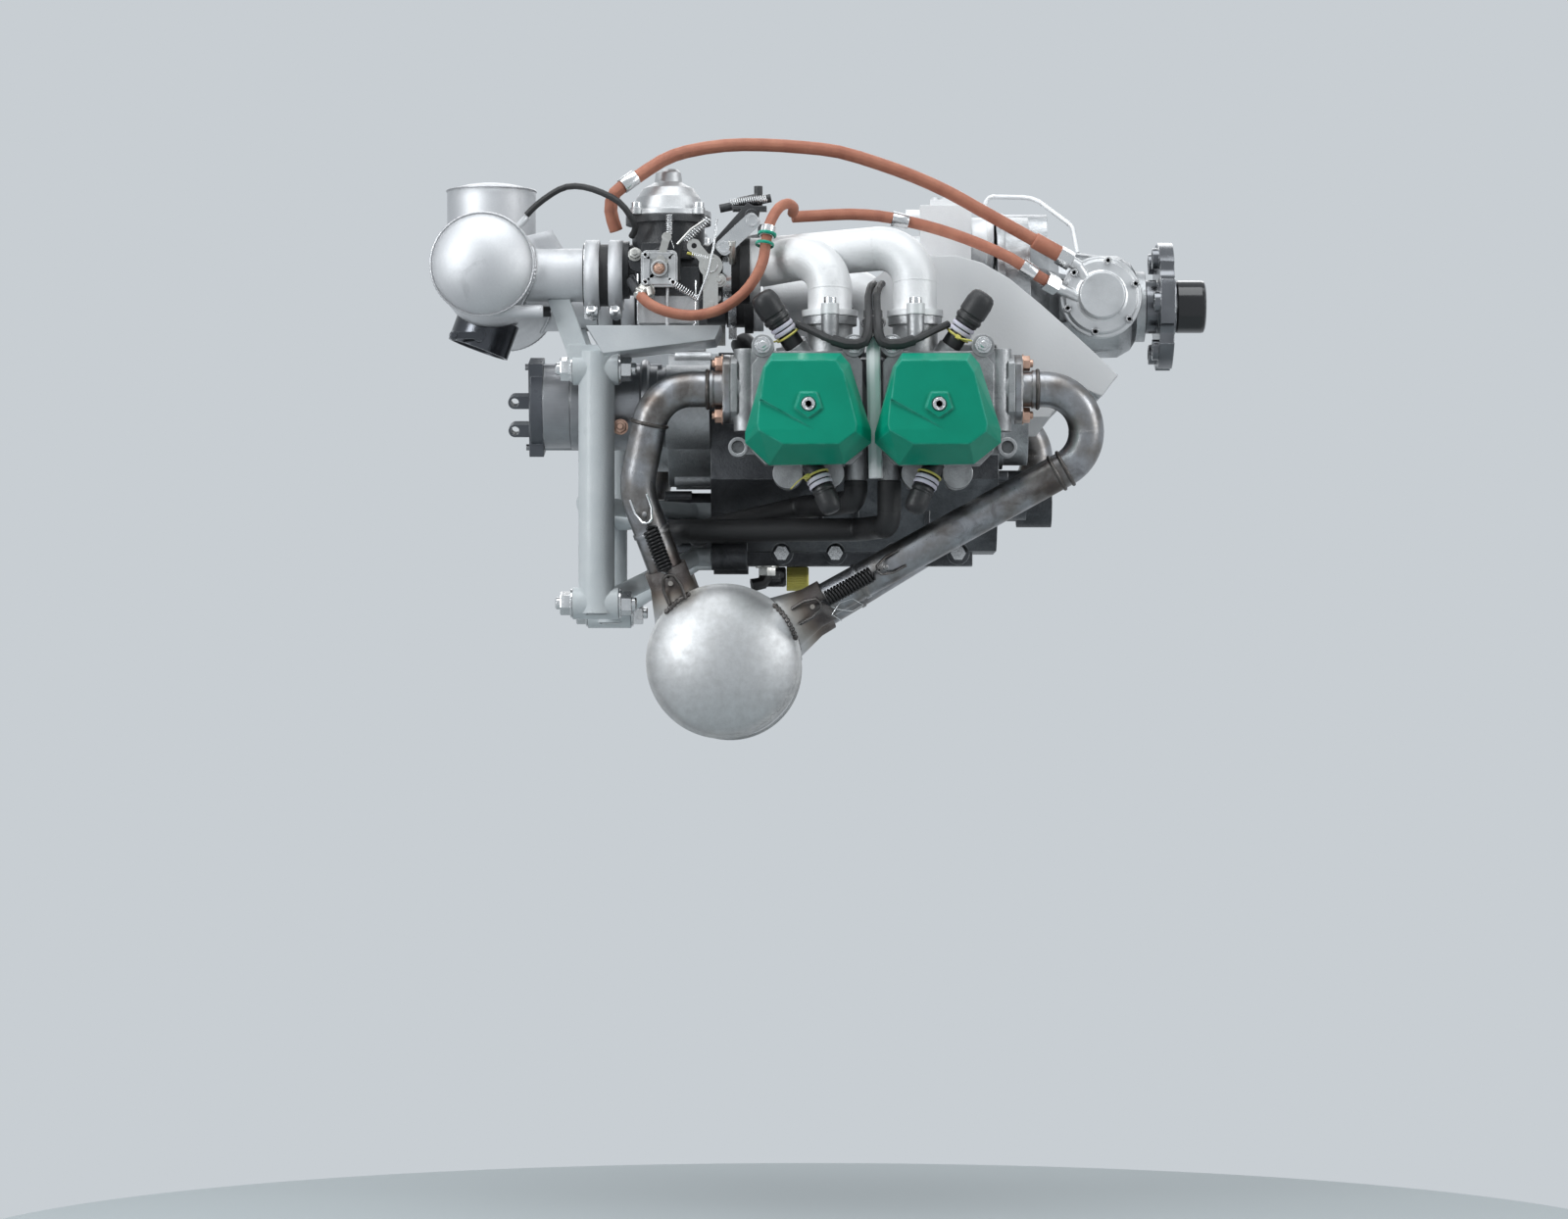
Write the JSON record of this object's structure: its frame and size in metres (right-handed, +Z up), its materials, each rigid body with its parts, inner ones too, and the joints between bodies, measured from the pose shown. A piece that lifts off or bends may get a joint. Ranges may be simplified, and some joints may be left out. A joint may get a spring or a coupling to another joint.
{
  "type": "flat aircraft engine",
  "caption": "Flat boxer aircraft engine with reduction gearbox, propeller flange, airbox, carburettors, tubular mount frame, exhaust pipes and drum muffler.",
  "frame": {"origin": "middle of the four mount bosses, on the plane of their rear faces", "axes": "+X forward along the crankshaft to the propeller, +Y to the engine's left, +Z up"},
  "size_m": [0.737, 0.576, 0.5657],
  "materials": {
    "case_grey": "cast, satin",
    "barrel_grey": "satin, machined fins",
    "head_grey": "cast, satin",
    "cover_green": "satin paint",
    "piston_metal": "machined",
    "forged_steel": "machined",
    "flange_steel": "polished face",
    "cap_black": "gloss",
    "gearbox_grey": "cast, satin",
    "pump_satin": "satin",
    "governor_white": "light satin",
    "starter_steel": "satin",
    "bracket_dark": "satin",
    "frame_blue_grey": "powder coat",
    "tray_grey": "satin",
    "airbox_aluminium": "brushed, welded",
    "ring_steel": "polished",
    "black_rubber": "matt",
    "plug_caps": "semi-matt",
    "carburettor_black": "satin",
    "carburettor_cap": "satin cast",
    "lever_zinc": "zinc plated",
    "manifold_grey": "light cast",
    "exhaust_steel": "brushed stainless, heat tinted",
    "spring_steel": "dark",
    "shroud_white": "satin",
    "hose_orange": "firesleeve, matt",
    "clamp_steel": "bright",
    "drain_brass": "olive plated"
  },
  "bodies": {
    "engine": {"crankcase_right": "case_grey", "crankcase_left": "case_grey", "cylinder_1": "barrel_grey", "cylinder_2": "barrel_grey", "cylinder_3": "barrel_grey", "cylinder_4": "barrel_grey", "cylinder_head_1": "head_grey", "cylinder_head_2": "head_grey", "cylinder_head_3": "head_grey", "cylinder_head_4": "head_grey", "valve_cover_1": "cover_green", "valve_cover_2": "cover_green", "valve_cover_3": "cover_green", "valve_cover_4": "cover_green", "pistons": "piston_metal", "pushrod_tubes": "forged_steel", "gearbox_housing": "gearbox_grey", "fuel_pump": "pump_satin", "governor": "governor_white", "ignition_housing": "gearbox_grey", "starter_motor": "starter_steel", "starter_bracket": "bracket_dark", "water_pump": "case_grey", "coolant_hoses": "black_rubber", "oil_pump": "case_grey", "mount_frame": "frame_blue_grey", "drip_trays": "tray_grey", "airbox": "airbox_aluminium", "airbox_sleeves": "black_rubber", "intake_ring": "ring_steel", "carburettor_right": "carburettor_black", "carburettor_left": "carburettor_black", "carburettor_caps": "carburettor_cap", "float_bowls": "carburettor_cap", "carburettor_sockets": "black_rubber", "intake_manifolds": "manifold_grey", "exhaust_pipes_right": "exhaust_steel", "exhaust_pipes_left": "exhaust_steel", "muffler": "exhaust_steel", "exhaust_springs": "spring_steel", "air_shroud": "shroud_white", "fuel_hoses": "hose_orange", "vent_hoses": "black_rubber", "hose_clamps": "clamp_steel", "spark_plugs": "plug_caps", "ignition_leads": "black_rubber", "case_bolts": "clamp_steel", "drain_cap": "drain_brass"},
    "propeller": {"propeller_shaft": "flange_steel", "propeller_gear": "forged_steel", "hub_cap": "cap_black"},
    "crank": {"crankshaft": "forged_steel", "flywheel": "forged_steel"},
    "cam": {"camshaft": "forged_steel"},
    "throttle_right": {"throttle_lever_right": "lever_zinc"},
    "throttle_left": {"throttle_lever_left": "lever_zinc"},
    "choke_right": {"choke_lever_right": "lever_zinc"},
    "choke_left": {"choke_lever_left": "lever_zinc"},
    "intake_flap": {"airbox_flap": "ring_steel"},
    "governor_arm": {"governor_lever": "governor_white"}
  },
  "joints": [
    {"name": "propeller_spin", "type": "hinge", "parent": "engine", "child": "propeller", "pos_m": [0.5, 0, 0.183], "axis": [1, 0, 0], "continuous": true},
    {"name": "crank_spin", "type": "hinge", "parent": "engine", "child": "crank", "pos_m": [0.26, 0, 0.072], "axis": [1, 0, 0], "continuous": true},
    {"name": "cam_spin", "type": "hinge", "parent": "engine", "child": "cam", "pos_m": [0.26, 0, 0], "axis": [1, 0, 0], "continuous": true},
    {"name": "throttle_right_turn", "type": "hinge", "parent": "engine", "child": "throttle_right", "pos_m": [0.13, -0.15, 0.203], "axis": [0, -1, 0], "range_deg": [0, 75], "stiffness_Nm_per_rad": 0.08, "springref_deg": -34.38},
    {"name": "throttle_left_turn", "type": "hinge", "parent": "engine", "child": "throttle_left", "pos_m": [0.13, 0.15, 0.203], "axis": [0, -1, 0], "range_deg": [0, 75], "stiffness_Nm_per_rad": 0.08, "springref_deg": -34.38},
    {"name": "choke_right_turn", "type": "hinge", "parent": "engine", "child": "choke_right", "pos_m": [0.0835, -0.15, 0.208], "axis": [0, 1, 0], "range_deg": [0, 60], "stiffness_Nm_per_rad": 0.05, "springref_deg": -28.65},
    {"name": "choke_left_turn", "type": "hinge", "parent": "engine", "child": "choke_left", "pos_m": [0.0835, 0.15, 0.208], "axis": [0, 1, 0], "range_deg": [0, 60], "stiffness_Nm_per_rad": 0.05, "springref_deg": -28.65},
    {"name": "intake_flap_turn", "type": "hinge", "parent": "engine", "child": "intake_flap", "pos_m": [-0.09352, -0.04, 0.14833], "axis": [0, -1, 0], "range_deg": [0, 80]},
    {"name": "governor_arm_turn", "type": "hinge", "parent": "engine", "child": "governor_arm", "pos_m": [0.356, 0.07, 0.262], "axis": [0, 1, 0], "range_deg": [-35, 35]}
  ],
  "couplings": [
    {"joint": "crank_spin", "follows": "propeller_spin", "ratio": -2.2727},
    {"joint": "cam_spin", "follows": "propeller_spin", "ratio": 1.1364}
  ]
}
